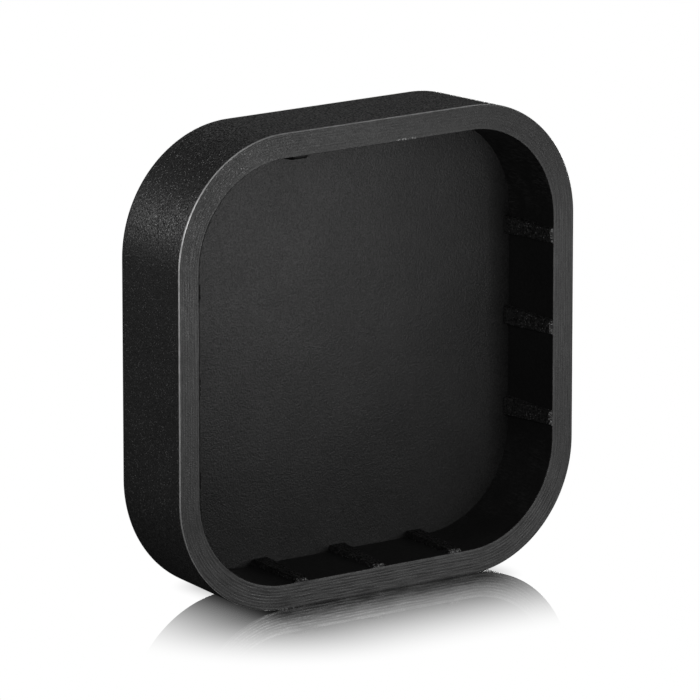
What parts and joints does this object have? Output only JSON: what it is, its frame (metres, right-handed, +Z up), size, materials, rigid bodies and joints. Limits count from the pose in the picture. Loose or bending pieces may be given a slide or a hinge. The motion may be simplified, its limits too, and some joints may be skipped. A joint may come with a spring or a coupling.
{
  "type": "push-on protective cap",
  "caption": "Black rounded-square push-on cap: a shallow thick-walled cup with tapered grip ribs on its inner walls.",
  "frame": {"origin": "middle of the flat side that the cap stands on, at the base", "axes": "+Z up, +Y from the open face to the closed back, +X to the right seen from the open face"},
  "size_m": [0.036, 0.0082, 0.036],
  "materials": {
    "shell_black": "matt, fine moulding grain",
    "floor_grain": "matt, fine pebbled grain",
    "rib_black": "matt, coarse moulding grain"
  },
  "bodies": {
    "root": {"cap_shell": "shell_black", "floor_panel": "floor_grain", "grip_rib_bottom_left": "rib_black", "grip_rib_bottom_middle": "rib_black", "grip_rib_bottom_right": "rib_black", "grip_rib_right_lower": "rib_black", "grip_rib_right_middle": "rib_black", "grip_rib_right_upper": "rib_black", "grip_rib_top_left": "rib_black", "grip_rib_top_middle": "rib_black", "grip_rib_top_right": "rib_black", "grip_rib_left_lower": "rib_black", "grip_rib_left_middle": "rib_black", "grip_rib_left_upper": "rib_black"}
  },
  "joints": []
}
